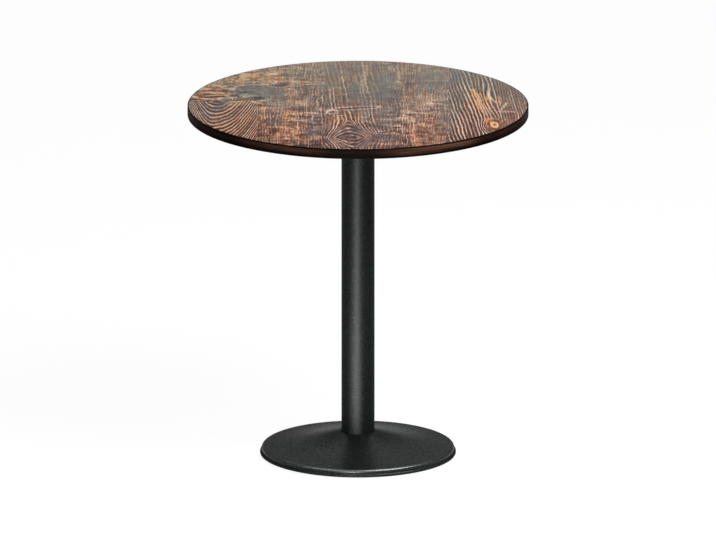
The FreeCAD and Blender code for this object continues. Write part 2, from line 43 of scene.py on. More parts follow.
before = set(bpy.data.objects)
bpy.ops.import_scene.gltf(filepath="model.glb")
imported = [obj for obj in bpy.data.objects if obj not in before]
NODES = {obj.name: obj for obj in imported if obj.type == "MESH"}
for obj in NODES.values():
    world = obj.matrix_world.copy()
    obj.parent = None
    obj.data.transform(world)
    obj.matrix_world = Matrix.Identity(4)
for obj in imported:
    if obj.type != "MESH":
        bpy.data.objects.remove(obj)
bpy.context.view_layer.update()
GLIDES = (1, 2, 3, 4)
CAMERA_DISTANCE = 4.0
MILLI = 0.001
WHITE = (1.0, 1.0, 1.0, 1.0)


def colour(name, description, default):
    """Colour property in linear light."""
    return FloatVectorProperty(
        name=name, description=description, subtype="COLOR", size=3, min=0.0, max=1.0, default=default
    )


def length(name, description, default):
    """Length property in metres."""
    return FloatProperty(
        name=name, description=description, unit="LENGTH", precision=5, min=0.0, default=default
    )


def share(name, description, default):
    """Property between nothing and all."""
    return FloatProperty(
        name=name, description=description, subtype="FACTOR", min=0.0, max=1.0, default=default
    )


class WoodFinish(bpy.types.PropertyGroup):
    """Colours and grain of the printed wood on the top."""

    char: colour("Char", "Burnt black", (0.052, 0.017, 0.009))
    umber: colour("Umber", "Deep burnt brown", (0.116, 0.053, 0.035))
    brown: colour("Brown", "Ground between the grain lines", (0.198, 0.112, 0.080))
    tan: colour("Tan", "Brushed grain lines", (0.40, 0.235, 0.150))
    straw: colour("Straw", "Light grain lines", (0.560, 0.370, 0.252))
    pale: colour("Pale", "Lightest grain lines", (0.82, 0.592, 0.428))
    rust: colour("Rust", "Orange bloom beside knots", (0.52, 0.26, 0.115))
    blush: colour("Blush", "Tint of the reddish streaks", (1.0, 0.76, 0.68))
    ember: colour("Ember", "Tint of the warmest parts", (1.0, 0.78, 0.56))
    # The near, middle and far tints are a painted reflection of the lacquer's sheen, greyer and greener
    # towards the far side
    near_reflection_tint: colour("Near tint", "Tint at the viewer's side of the top", (0.98, 0.93, 1.0))
    middle_reflection_tint: colour("Middle tint", "Tint along the middle of the top", (0.87, 0.945, 1.0))
    far_reflection_tint: colour("Far tint", "Tint at the far side of the top", (0.88, 1.0, 0.88))
    soot: colour("Soot", "Darkest of the cold burnt patches", (0.036, 0.033, 0.031))
    slate: colour("Slate", "Blue-grey of the cold burnt patches", (0.130, 0.113, 0.103))
    ash: colour("Ash", "Lighter grain in the cold burnt patches", (0.32, 0.265, 0.220))
    # Edge, lighter streak: streaks along the band, which also give the painted highlights at its front left
    # and front right
    edge_light: colour("Edge, lighter streak", "Streaks along the edge band", (0.145, 0.067, 0.041))
    # Edge, darker streak: the burnt upper arris, and burnt wood with painted shade towards the lower arris
    edge_dark: colour("Edge, darker streak", "Burnt arrises of the edge band", (0.003, 0.0015, 0.001))
    gloss: share("Lacquer", "How strongly the lacquer reflects", 0.03)
    edge_gloss: share("Edge lacquer", "How strongly the edge band reflects", 0.01)
    roughness: share("Lacquer roughness", "Satin lacquer on the wood", 0.52)
    drift: length("Drift", "How far the grain wanders from a straight line", 0.010)
    relief: length("Relief", "Height of the brushed grain lines", 0.00012)


class CoatFinish(bpy.types.PropertyGroup):
    """Black powder coat on the column, the foot and the spider."""

    body: colour("Coat", "Black of the coat", (0.0028, 0.0056, 0.0048))
    tip: colour("Coat, grain tips", "Lighter tips of the coat's grain", (0.014, 0.0200, 0.0185))
    grain: length("Grain", "Size of the coat's sand-like grain", 0.0026)
    relief: length("Grain relief", "Height of the coat's grain", 0.00036)
    column_gloss: share("Column gloss", "Weight of the clear coat on the column", 0.20)
    column_roughness: share("Column roughness", "Roughness of the clear coat on the column", 0.46)
    spider_gloss: share("Spider gloss", "Weight of the clear coat on the spider", 0.55)
    spider_roughness: share("Spider roughness", "Roughness of the clear coat on the spider", 0.50)
    face_gloss: share("Foot gloss", "Weight of the clear coat on the foot's upper face", 0.47)
    hub_gloss: share("Hub gloss", "Weight of the clear coat on the foot's hub", 0.27)
    rim_gloss: share("Rim gloss", "Share of the clear coat left below the foot's shoulder", 0.27)
    foot_roughness: share("Foot roughness", "Roughness of the clear coat on the foot", 0.31)
    foot_index: FloatProperty(
        name="Foot index", description="Refraction of the foot's clear coat", min=1.0, default=2.2
    )


class HardwareFinish(bpy.types.PropertyGroup):
    """Zinc, nylon and board, which show only from below, and the sizes of threads, studs and edge band."""

    zinc: colour("Zinc", "Bright zinc plate", (0.60, 0.60, 0.58))
    nylon: colour("Nylon", "Moulded black nylon of the pads", (0.022, 0.022, 0.023))
    backing: colour("Backing", "Balancing sheet under the top", (0.050, 0.045, 0.042))
    chip: colour("Board", "Wood chips of the board", (0.42, 0.29, 0.17))
    rod_pitch: length("Rod pitch", "Rise of the rod's thread in one turn", 0.00175)
    rod_thread: length("Rod thread", "Threaded length at each end of the rod", 0.040)
    stud_pitch: length("Stud pitch", "Rise of a stud's thread in one turn", 0.00125)
    socket: length("Stud socket", "Hexagon socket of a stud across its flats", 0.005)
    socket_depth: length("Socket depth", "Depth of a stud's hexagon socket", 0.004)
    stud_disc: length("Stud disc", "Thickness of the disc that a pad holds", 0.003)
    stud_diameter: length("Stud", "Stud over its thread", 0.008)
    band_rounding: length("Band rounding", "Radius of the edge band's eased arrises", 0.0016)
    band_steps: IntProperty(name="Band steps", description="Steps round the edge band", min=48, default=480)


class StudioSettings(bpy.types.PropertyGroup):
    """Camera, floor and light."""

    elevation: FloatProperty(
        name="Camera elevation", description="Camera above the horizon", subtype="ANGLE",
        default=math.radians(15.1)
    )
    frame_width: length("Frame width", "Width of the picture at the table", 1.4693)
    aim_height: length("Aim height", "Height on the table's axis at the middle of the picture", 0.3903)
    floor_reach: length("Floor", "Distance at which the floor turns up into a low backdrop", 10.0)
    backdrop: length("Backdrop", "Height of the backdrop round the floor", 0.6)
    ambient: FloatProperty(name="Ambient", description="Even light from all round", min=0.0, default=0.25)
    floor_lift: share("Floor lift", "Share of the floor that shows as plain white", 0.80)
    floor_white: FloatProperty(name="White", description="Strength of that white", min=0.0, default=1.16)
    floor_grey: share("Floor grey", "Grey of the rest of the floor, which takes the shadow", 0.86)


class Term:
    """A number that changes over a surface. Arithmetic on it adds Math nodes to its graph."""

    def __init__(self, graph, socket):
        self.graph = graph
        self.socket = socket

    def __add__(self, other):
        return self.graph.math("ADD", self, other)

    def __sub__(self, other):
        return self.graph.math("SUBTRACT", self, other)

    def __rsub__(self, other):
        return self.graph.math("SUBTRACT", other, self)

    def __mul__(self, other):
        return self.graph.math("MULTIPLY", self, other)

    def __truediv__(self, other):
        return self.graph.math("DIVIDE", self, other)

    def __pow__(self, other):
        return self.graph.math("POWER", self, other)

    __radd__ = __add__
    __rmul__ = __mul__


class Graph:
    """A node tree, with methods that add nodes and give back what they put out."""

    def __init__(self, tree):
        self.tree = tree
        tree.nodes.clear()

    def add(self, kind, settings, inputs):
        """New node of a kind: its settings first, then a value or a link for each named or numbered input."""
        node = self.tree.nodes.new(kind)
        for name, setting in settings.items():
            if name == "stops":
                self.set_stops(node.color_ramp, setting)
            else:
                setattr(node, name, setting)
        for key, given in inputs.items():
            source = given.socket if isinstance(given, Term) else given
            if isinstance(source, bpy.types.NodeSocket):
                self.tree.links.new(source, node.inputs[key])
            else:
                node.inputs[key].default_value = source
        return node

    def set_stops(self, ramp, stops):
        """Colours of a ramp at places between 0 and 1."""
        while len(ramp.elements) < len(stops):
            ramp.elements.new(1.0)
        for element, (at, given) in zip(ramp.elements, stops):
            element.position = at
            element.color = opaque(given)

    def math(self, operation, *values):
        node = self.add("ShaderNodeMath", {"operation": operation}, dict(enumerate(values)))
        return Term(self, node.outputs[0])

    def vector(self, operation, *values):
        settings = {"operation": operation}
        return self.add("ShaderNodeVectorMath", settings, dict(enumerate(values))).outputs[0]

    def mix(self, factor, first, second):
        """Colour between two colours."""
        inputs = {0: factor, 6: opaque(first), 7: opaque(second)}
        return self.add("ShaderNodeMix", {"data_type": "RGBA"}, inputs).outputs[2]

    def blend(self, factor, first, second):
        """Number between two numbers."""
        inputs = {0: factor, 2: first, 3: second}
        return Term(self, self.add("ShaderNodeMix", {"data_type": "FLOAT"}, inputs).outputs[0])

    def step(self, given, low, high):
        """Smooth step, from 0 at low to 1 at high; low may be the larger."""
        inputs = {"Value": given, "From Min": low, "From Max": high}
        settings = {"interpolation_type": "SMOOTHSTEP"}
        return Term(self, self.add("ShaderNodeMapRange", settings, inputs).outputs[0])

    def ramp(self, given, stops):
        """Colour of a number between 0 and 1, from stops as (number, colour)."""
        return self.add("ShaderNodeValToRGB", {"stops": stops}, {0: given}).outputs[0]

    def stretched(self, place, scale):
        """Place multiplied along its three axes."""
        return self.vector("MULTIPLY", place, scale)

    def noise(self, place, scale, detail=2.0, roughness=0.5, output=0):
        """Noise at a place, between 0 and 1."""
        inputs = {"Vector": place, "Scale": scale, "Detail": detail, "Roughness": roughness}
        node = self.add("ShaderNodeTexNoise", {}, inputs)
        return Term(self, node.outputs[output])

    def reach(self, place, centre, spread, turn=0.0):
        """Distance from a centre, counted as 1 on an ellipse of a spread that is turned by some degrees.

        Two dot products turn and scale the place; a Mapping node for each of so many patches would make the
        wood render black.
        """
        lean = math.radians(turn)
        across = self.way(place, centre, (math.cos(lean), math.sin(lean)), spread[0])
        along = self.way(place, centre, (-math.sin(lean), math.cos(lean)), spread[1])
        return self.math("SQRT", across * across + along * along)

    def way(self, place, centre, axis, size):
        """Distance from a centre along an axis, counted in sizes; centre and size are in mm."""
        scaled = tuple(part / (size * MILLI) for part in axis)
        node = self.add("ShaderNodeVectorMath", {"operation": "DOT_PRODUCT"}, {0: place, 1: (*scaled, 0.0)})
        start = (axis[0] * centre[0] + axis[1] * centre[1]) / size
        return Term(self, node.outputs["Value"]) - start

    def bump(self, height, depth):
        """Normal of a surface raised by a height between 0 and 1, times a depth in metres."""
        inputs = {"Height": height, "Distance": depth, "Strength": 1.0}
        return self.add("ShaderNodeBump", {}, inputs).outputs[0]

    def place(self):
        """Place on the piece in its own coordinates, in metres."""
        return self.add("ShaderNodeTexCoord", {}, {}).outputs["Object"]

    def surface(self, **inputs):
        """Principled shader joined to the output."""
        named = {key.replace("_", " "): given for key, given in inputs.items()}
        shader = self.add("ShaderNodeBsdfPrincipled", {}, named)
        self.add("ShaderNodeOutputMaterial", {}, {"Surface": shader.outputs[0]})


def opaque(given):
    """Colour with its alpha, where plain numbers are given."""
    if isinstance(given, (Term, bpy.types.NodeSocket)):
        return given
    return (*given[:3], 1.0)


def new_material(name):
    """Empty node material and its graph."""
    material = bpy.data.materials.new(name)
    material.use_nodes = True
    return material, Graph(material.node_tree)


def finish_nodes(material, *names):
    """Puts a material on CAD nodes."""
    for name in names:
        NODES[name].material_slots[0].material = material


# Boards of the printed wood from left to right: right side in mm, ground tone from burnt to bare,
# strength of the grain lines on it and of the saw marks across it
BOARDS = (
    (-206.0, 0.37, 2.90, 0.3),
    (-146.0, 0.41, 0.75, 1.3),
    (-72.0, 0.43, 0.75, 1.5),
    (50.0, 0.38, 0.75, 0.5),
    (112.0, 0.39, 0.65, 1.1),
    (186.0, 0.46, 0.50, 0.7),
    (360.0, 0.33, 2.30, 0.0),
)

# Half width of the seam between two boards in mm, and sharpness of their grain lines
BOARD_SEAM = 6.0
BOARD_SHARPNESS = 4.6

# Grain lines in mm: spacings, the axes that they bend or part round, and how far an axis leans
LEFT_AXIS, LEFT_SPACING = -296.0, 28.0
PLAIN_SPACING = 6.0
MIDDLE_AXIS, MIDDLE_LEAN, MIDDLE_SPACING = -26.0, 0.05, 8.2
EYE_PLACE, EYE_HALF_WIDTH, EYE_HALF_LENGTH = -255.0, 42.0, 145.0
RIGHT_LEAN, RIGHT_SPACING, FINER_FROM = 0.093, 7.7, 285.0
SAW_SPACING = 23.0

# Parts of the right board where lines swerve, as (centre, spread, turn in degrees), in mm
FLAME = ((262.0, 50.0), (24.0, 170.0), 6.0)
WHORL = ((276.0, -168.0), (36.0, 70.0), 6.0)

# Crack across the middle board and its lit sides, in mm, and their turn in degrees
CRACK_CENTRE, CRACK_TURN = (-7.0, -25.0), 12.0
CRACK_SPREAD, CRACK_SIDES = (52.0, 5.0), (60.0, 17.0)

# Patches as (x, y, half width, half length, turn in degrees, strength), in mm
DARK_PATCHES = (
    (-210.0, 106.0, 50.0, 64.0, 0.0, 1.00),
    (-280.0, 4.0, 12.0, 50.0, -14.0, 0.95),
    (-262.0, -110.0, 22.0, 70.0, -10.0, 0.40),
    (-170.0, 20.0, 24.0, 75.0, 0.0, 0.65),
    (-66.0, 150.0, 22.0, 30.0, 0.0, 0.80),
    (-8.0, 108.0, 13.0, 66.0, 0.0, 1.00),
    (-12.0, -210.0, 20.0, 62.0, 0.0, 0.55),
    (58.0, 130.0, 30.0, 120.0, 0.0, 0.80),
    (150.0, 190.0, 30.0, 90.0, 0.0, 0.70),
    (62.0, -100.0, 24.0, 80.0, 0.0, 0.85),
    (-88.0, -195.0, 20.0, 75.0, 0.0, 0.85),
    (-140.0, -20.0, 26.0, 22.0, 0.0, 0.60),
    (45.0, -165.0, 26.0, 36.0, 0.0, 0.80),
    (60.0, -262.0, 26.0, 40.0, 0.0, 0.75),
    (-170.0, -110.0, 18.0, 80.0, 0.0, 0.60),
    (232.0, 230.0, 46.0, 80.0, 12.0, 0.55),
    (176.0, -150.0, 14.0, 110.0, 0.0, 0.55),
    (268.0, -70.0, 12.0, 44.0, 6.0, 0.60),
    (-60.0, 255.0, 24.0, 60.0, 0.0, 0.60),
    (8.0, -306.0, 40.0, 34.0, 0.0, 0.70),
    (-113.0, -117.0, 16.0, 24.0, 0.0, 0.70),
    (-314.0, -105.0, 14.0, 40.0, 0.0, 0.60),
)
LIGHT_PATCHES = (
    (-222.0, 238.0, 26.0, 40.0, -20.0, 0.80),
    (-182.0, 225.0, 18.0, 62.0, -14.0, 0.90),
    (-290.0, 112.0, 36.0, 44.0, 10.0, 0.90),
    (-250.0, 16.0, 22.0, 18.0, 10.0, 0.80),
    (-138.0, 90.0, 9.0, 130.0, 0.0, 0.70),
    (-104.0, 18.0, 26.0, 26.0, 0.0, 0.80),
    (-142.0, -120.0, 16.0, 40.0, -6.0, 0.75),
    (-150.0, -225.0, 24.0, 60.0, -6.0, 0.95),
    (-112.0, -262.0, 40.0, 18.0, 0.0, 0.75),
    (-96.0, 180.0, 30.0, 26.0, 0.0, 0.45),
    (138.0, 30.0, 20.0, 60.0, 0.0, 0.20),
    (96.0, -40.0, 9.0, 110.0, 0.0, 0.45),
    (134.0, -155.0, 20.0, 14.0, 0.0, 0.95),
    (112.0, -200.0, 8.0, 120.0, 0.0, 0.80),
    (12.0, 190.0, 6.0, 130.0, -3.0, 0.75),
    (-154.0, -28.0, 24.0, 52.0, 0.0, 0.55),
    (242.0, 84.0, 5.0, 62.0, 10.0, 1.90),
    (257.0, -30.0, 7.0, 62.0, 7.0, 1.80),
    (267.0, 86.0, 3.5, 56.0, -4.0, 1.40),
    (269.0, -28.0, 3.5, 54.0, 4.0, 1.40),
    (291.0, 34.0, 3.5, 42.0, 2.0, 1.40),
    (44.0, -14.0, 5.0, 9.0, 0.0, 1.40),
    (278.0, -166.0, 9.0, 22.0, 6.0, 0.45),
    (121.0, -285.0, 14.0, 36.0, 0.0, 0.80),
    (82.0, 180.0, 10.0, 60.0, 0.0, 0.40),
    (-45.0, 112.0, 12.0, 40.0, 0.0, 0.60),
    (-33.0, -95.0, 16.0, 26.0, 0.0, 0.60),
    (270.0, -112.0, 9.0, 26.0, 6.0, 0.80),
    (275.0, 46.0, 3.5, 34.0, 15.0, 1.60),
    (306.0, -52.0, 20.0, 7.0, 0.0, 1.20),
    (300.0, -8.0, 4.0, 34.0, -12.0, 1.30),
    (246.0, 4.0, 5.0, 40.0, 8.0, 1.40),
)

# Warmer and colder parts, as patches
EMBER_PATCHES = (
    (-262.0, -130.0, 62.0, 115.0, 0.0, 1.00),
    (-215.0, 215.0, 70.0, 60.0, 0.0, 0.85),
    (-300.0, 100.0, 38.0, 70.0, 0.0, 0.80),
    (-238.0, 0.0, 60.0, 36.0, 0.0, 0.60),
    (-165.0, -130.0, 52.0, 170.0, 0.0, 0.75),
    (-28.0, -115.0, 34.0, 56.0, 0.0, 0.60),
    (140.0, -210.0, 38.0, 120.0, 0.0, 0.50),
    (250.0, 10.0, 22.0, 110.0, 6.0, 0.90),
    (280.0, -158.0, 24.0, 66.0, 6.0, 1.00),
)
COOL_PATCHES = (
    (28.0, 110.0, 34.0, 150.0, 0.0, 0.80),
    (192.0, 20.0, 24.0, 240.0, 0.0, 0.75),
    (30.0, -50.0, 26.0, 70.0, 0.0, 0.70),
    (302.0, 150.0, 44.0, 70.0, 0.0, 0.60),
    (-296.0, -70.0, 20.0, 56.0, 0.0, 0.80),
    (30.0, -250.0, 36.0, 70.0, 0.0, 0.30),
)

# Knots as (x, y, half width, half length, turn in degrees, rings, strength), in mm
KNOTS = (
    (-53.0, -55.0, 15.0, 20.0, 0.0, 0.6, 1.50),
    (43.0, -15.0, 8.0, 11.0, 0.0, 1.2, 0.90),
    (280.0, -155.0, 18.0, 54.0, 6.0, 1.5, 1.15),
    (61.0, -224.0, 10.0, 15.0, 0.0, 1.8, 0.80),
)


def lines_of(graph, phase, sharp):
    """Grain lines: each turn of the phase has a pale line of its own strength, between dark ends."""
    turn = graph.math("FRACT", phase)
    ridge = 1.0 - graph.math("ABSOLUTE", turn * 2.0 - 1.0)
    whole = graph.math("FLOOR", phase)
    lot = graph.add("ShaderNodeTexWhiteNoise", {"noise_dimensions": "1D"}, {"W": whole}).outputs["Value"]
    return ridge**sharp * (Term(graph, lot) ** 1.6 * 0.85 + 0.22) - (1.0 - ridge) ** 3.0 * 0.30


def spot(graph, place, patch, fray):
    """Patch with frayed sides: its strength inside an ellipse, 0 outside."""
    x, y, wide, tall, turn, strength = patch
    reach = graph.reach(place, (x, y), (wide, tall), turn)
    return graph.step(reach + fray, 1.12, 0.86) * strength


def gather(graph, place, patches, fray):
    """Strongest of several patches."""
    found = spot(graph, place, patches[0], fray)
    for patch in patches[1:]:
        found = graph.math("MAXIMUM", found, spot(graph, place, patch, fray))
    return found


def board_phases(graph, place, across, along, wander):
    """Phases of the grain lines of each board from left to right and of saw marks, and distance from the eye.

    A phase is counted in lines. A straight board counts across it. The bends in the left board are parabolas,
    steeper on their left. The middle board counts from a leaning axis, and its lines part round an eye: the
    square of the distance from the axis, less that of the eye's own half width there. The right board leans,
    and its lines swerve at the flame and the whorl. Saw marks count along the board.
    """
    off_axis = across - LEFT_AXIS
    right_leg = graph.math("MAXIMUM", off_axis, 0.0) ** 2.0 * 0.036
    left_leg = graph.math("MINIMUM", off_axis, 0.0) ** 2.0 * 0.110
    left = (right_leg + left_leg - along) / LEFT_SPACING + wander * 1.4
    plain = across / PLAIN_SPACING + wander * 5.0
    from_axis = across + along * MIDDLE_LEAN - MIDDLE_AXIS
    from_eye = graph.math("ABSOLUTE", along - EYE_PLACE) / EYE_HALF_LENGTH
    eye_side = graph.math("MAXIMUM", 1.0 - from_eye, 0.0) * EYE_HALF_WIDTH
    parted = from_axis**2.0 - eye_side**2.0
    right_side = graph.math("GREATER_THAN", from_axis, 0.0) * 37.0
    middle = graph.math("SQRT", graph.math("ABSOLUTE", parted)) / MIDDLE_SPACING + right_side + wander * 2.2
    eye = graph.math("ABSOLUTE", from_axis) / 46.0 + (from_eye / 1.25) ** 2.0
    finer = graph.math("MAXIMUM", across - FINER_FROM, 0.0) * 0.05
    lean = (across + along * RIGHT_LEAN) / RIGHT_SPACING + finer
    flame = graph.step(graph.reach(place, *FLAME), 1.0, 0.0) * 1.2
    whorl = graph.step(graph.reach(place, *WHORL), 1.0, 0.0) * 2.4
    right = lean + flame + whorl + wander
    marks = along / SAW_SPACING + wander * 5.0
    return (left, plain, plain, middle, plain, plain, right), marks, eye


class PlankNoise:
    """Noises of the printed wood, about nothing, in cells of a width and a length in mm."""

    def __init__(self, graph, place):
        self.graph = graph
        self.place = place
        self.wander = self.field(34.0, 160.0)
        self.fray = self.field(16.0, 12.0, 5.0, 0.7) * 2.4
        self.fibre = self.field(2.2, 34.0)
        self.strand = self.field(4.6, 80.0)
        self.blotch = self.field(15.0, 36.0, 5.0, 0.68)
        self.bars = self.field(44.0, 20.0, 4.0, 0.65)
        self.cloud = self.field(70.0, 110.0, 4.0)
        self.hue = self.field(7.0, 150.0)
        self.fleck = self.field(3.0, 15.0)
        self.fade = graph.step(self.field(20.0, 60.0, 4.0), -0.20, 0.10)
        self.marked = graph.step(self.field(80.0, 60.0, 2.0), -0.06, 0.08)

    def field(self, wide, tall, detail=3.0, roughness=0.6):
        """One noise, which hardly changes through the thickness of the sheet."""
        cells = self.graph.stretched(self.place, (1.0 / (wide * MILLI), 1.0 / (tall * MILLI), 1.0))
        return self.graph.noise(cells, 1.0, detail, roughness) - 0.5


def plank_grain(graph, warped, across, along, noise):
    """Grain of the boards side by side, with the eye, the knots and the saw marks at the far left.

    Gives the ground's tone, the grain, the strength of cross marks, and how far inside each knot a place is.
    """
    phases, marks, eye = board_phases(graph, warped, across, along, noise.wander)
    eye_area = graph.step(eye + noise.fray * 0.3, 1.5, 0.8)
    ripple = noise.fibre * 0.20 + noise.blotch * 0.30 + noise.fray * eye_area * 0.50
    seam, ground, strength, sawn = BOARDS[0]
    lines = lines_of(graph, phases[0] + ripple, BOARD_SHARPNESS)
    frayed = across + noise.wander * 30.0 + noise.fray * 9.0
    for phase, (side, board_ground, board_strength, board_sawn) in zip(phases[1:], BOARDS[1:]):
        over = graph.step(frayed, seam - BOARD_SEAM, seam + BOARD_SEAM)
        lines = graph.blend(over, lines, lines_of(graph, phase + ripple, BOARD_SHARPNESS))
        ground = graph.blend(over, ground, board_ground)
        strength = graph.blend(over, strength, board_strength)
        sawn = graph.blend(over, sawn, board_sawn)
        seam = side

    insides = []
    for x, y, wide, tall, turn, count, knot_strength in KNOTS:
        reach = graph.reach(warped, (x, y), (wide, tall), turn)
        inside = graph.step(reach + noise.fray * 0.3, 1.25, 0.8)
        lines = graph.blend(inside, lines, lines_of(graph, reach * count + noise.fray * 0.2, 2.0))
        strength = graph.blend(inside, strength, knot_strength)
        insides.append(inside)

    strength = graph.blend(eye_area, strength, 2.1)
    left_part = graph.step(across + noise.cloud * 160.0, -130.0, -200.0)
    saw_area = left_part * graph.step(along + noise.cloud * 120.0, 5.0, 55.0)
    lines = graph.blend(saw_area, lines, lines_of(graph, marks + ripple * 3.0, 2.0))
    strength = graph.blend(saw_area, strength, 0.5)
    sawn = graph.blend(saw_area, sawn, 3.2)
    strength = strength * (1.0 - graph.step(across, 278.0, 300.0) * 0.6)
    return ground, lines * strength * (noise.fade * 0.65 + 0.35), sawn, insides


def plank_mottle(graph, along, sawn, noise):
    """Unevenness of the ground: threads along it or bars across it, torn flakes, flecks and clouds."""
    threads = noise.strand * 0.75 + noise.fibre * 0.4
    rubbed = graph.blend(noise.marked, threads, noise.bars * sawn * 1.7 + threads * 0.3)
    torn = graph.step(noise.blotch + noise.bars * 0.7 + noise.fibre * 0.3, -0.04, 0.05) - 0.5
    # The flakes are weaker towards the far side, with the grain under the painted reflection
    flakes = torn * sawn * graph.blend(graph.step(along, -150.0, 100.0), 0.17, 0.09)
    return noise.cloud * 0.6 + noise.blotch * 0.5 + noise.fleck * 0.8 + rubbed + flakes


def plank_colour(graph, wood, tone, along, noise, patches):
    """Colour of a tone: a warm ramp, or a cold one in dark and cool patches, with rust, embers and a painted
    reflection that tints it from front to back.
    """
    dark, light, ember, cool = patches
    warm_stops = (
        (0.0, wood.char), (0.26, wood.umber), (0.50, wood.brown), (0.74, wood.tan), (0.90, wood.straw),
        (1.0, wood.pale),
    )
    cold_stops = ((0.0, wood.soot), (0.40, wood.slate), (1.0, wood.ash))
    reflection_tint_stops = ((0.0, wood.near_reflection_tint), (0.5, wood.middle_reflection_tint), (1.0, wood.far_reflection_tint))
    warm = graph.ramp(tone, warm_stops)
    cold = graph.ramp(tone, cold_stops)
    bloom = graph.math("MINIMUM", light, 1.0) * graph.step(noise.blotch + noise.strand * 0.7, -0.10, 0.16)
    grey_streaks = graph.step(noise.hue - ember * 0.12, 0.0, 0.16) * 0.55
    chill = graph.math("MINIMUM", dark + cool * 0.6 + grey_streaks, 1.0)
    painted = graph.mix(graph.step(noise.hue, 0.0, -0.14), warm, graph.vector("MULTIPLY", warm, wood.blush))
    painted = graph.mix(bloom * 0.60, painted, wood.rust)
    painted = graph.mix(ember, painted, graph.vector("MULTIPLY", painted, wood.ember))
    # The cold ramp takes a larger share over the far side: painted reflection over the real cold patches
    painted = graph.mix(chill * (0.50 + graph.step(along, -160.0, 40.0) * 0.30), painted, cold)
    # Painted reflection: the tints grade the colour from the near side to the far side
    return graph.vector("MULTIPLY", painted, graph.ramp(along / 520.0 + 0.5, reflection_tint_stops))


def burnt_planks(wood):
    """Printed wood of the face: boards with burnt ground, brushed grain lines, knots, patches and a crack.

    One tone, from burnt to bare, is added up from all of them and coloured by ramps; towards the far side it
    is lighter, flatter and greyer as a painted reflection.
    """
    material, graph = new_material("burnt_planks")
    place = graph.place()
    noise = PlankNoise(graph, place)
    slow = graph.noise(graph.stretched(place, (16.0, 4.0, 1.0)), 1.0, output=1)
    centred = graph.vector("SUBTRACT", slow, (0.5, 0.5, 0.5))
    warped = graph.vector("ADD", place, graph.stretched(centred, (wood.drift,) * 3))
    axes = graph.add("ShaderNodeSeparateXYZ", {}, {0: warped}).outputs
    across = Term(graph, axes[0]) * (1.0 / MILLI)
    along = Term(graph, axes[1]) * (1.0 / MILLI)

    ground, grain, sawn, knots = plank_grain(graph, warped, across, along, noise)
    dark = gather(graph, place, DARK_PATCHES, noise.fray)
    for inside in knots:
        dark = dark * (1.0 - inside * 0.8)
    light = gather(graph, place, LIGHT_PATCHES, noise.fray)
    ember = gather(graph, place, EMBER_PATCHES, noise.fray)
    cool = gather(graph, place, COOL_PATCHES, noise.fray)
    cut = graph.reach(place, CRACK_CENTRE, CRACK_SPREAD, CRACK_TURN)
    crack = graph.step(cut + noise.fray * 0.3, 1.2, 0.6)
    beside = graph.reach(place, CRACK_CENTRE, CRACK_SIDES, CRACK_TURN)
    lit_sides = graph.step(beside + noise.fray * 0.2, 1.2, 0.7)

    # Painted reflection: the grain's contrast is raised over the near side and lowered over the far side,
    # where a sheen would wash it out
    depth = graph.blend(graph.step(along, -220.0, 220.0), 1.32, 0.80)
    relief = (plank_mottle(graph, along, sawn, noise) + grain) * depth
    tone = ground + relief * (1.0 - dark * 0.3) + light * 0.30 - dark * 0.05
    tone = tone + lit_sides * 0.32 - crack * 0.90 + ember * 0.08
    # Painted reflection: the far half is lighter, as the lacquer's sheen would make it; the near edge is a
    # little darker
    tone = tone + graph.step(along, -300.0, -20.0) * 0.13 - graph.step(along, -190.0, -340.0) * 0.05
    graph.surface(
        Base_Color=plank_colour(graph, wood, tone, along, noise, (dark, light, ember, cool)),
        Roughness=wood.roughness + noise.cloud * 0.14 - grain * 0.05,
        Specular_IOR_Level=wood.gloss,
        Normal=graph.bump(grain * 0.8 + noise.fibre * 0.3, wood.relief),
    )
    return material


# Lighter stretches of the edge band as (middle, half length, strength), in metres round from the back; the
# two strongest, at the front left and front right, are painted highlights, the others lighter streaks
EDGE_STREAKS_AND_HIGHLIGHTS = (
    (0.28, 0.16, 0.8),
    (0.60, 0.10, 0.4),
    (0.93, 0.11, 1.0),
    (1.26, 0.12, 1.2),
    (1.62, 0.08, 0.4),
    (1.88, 0.18, 0.9),
)


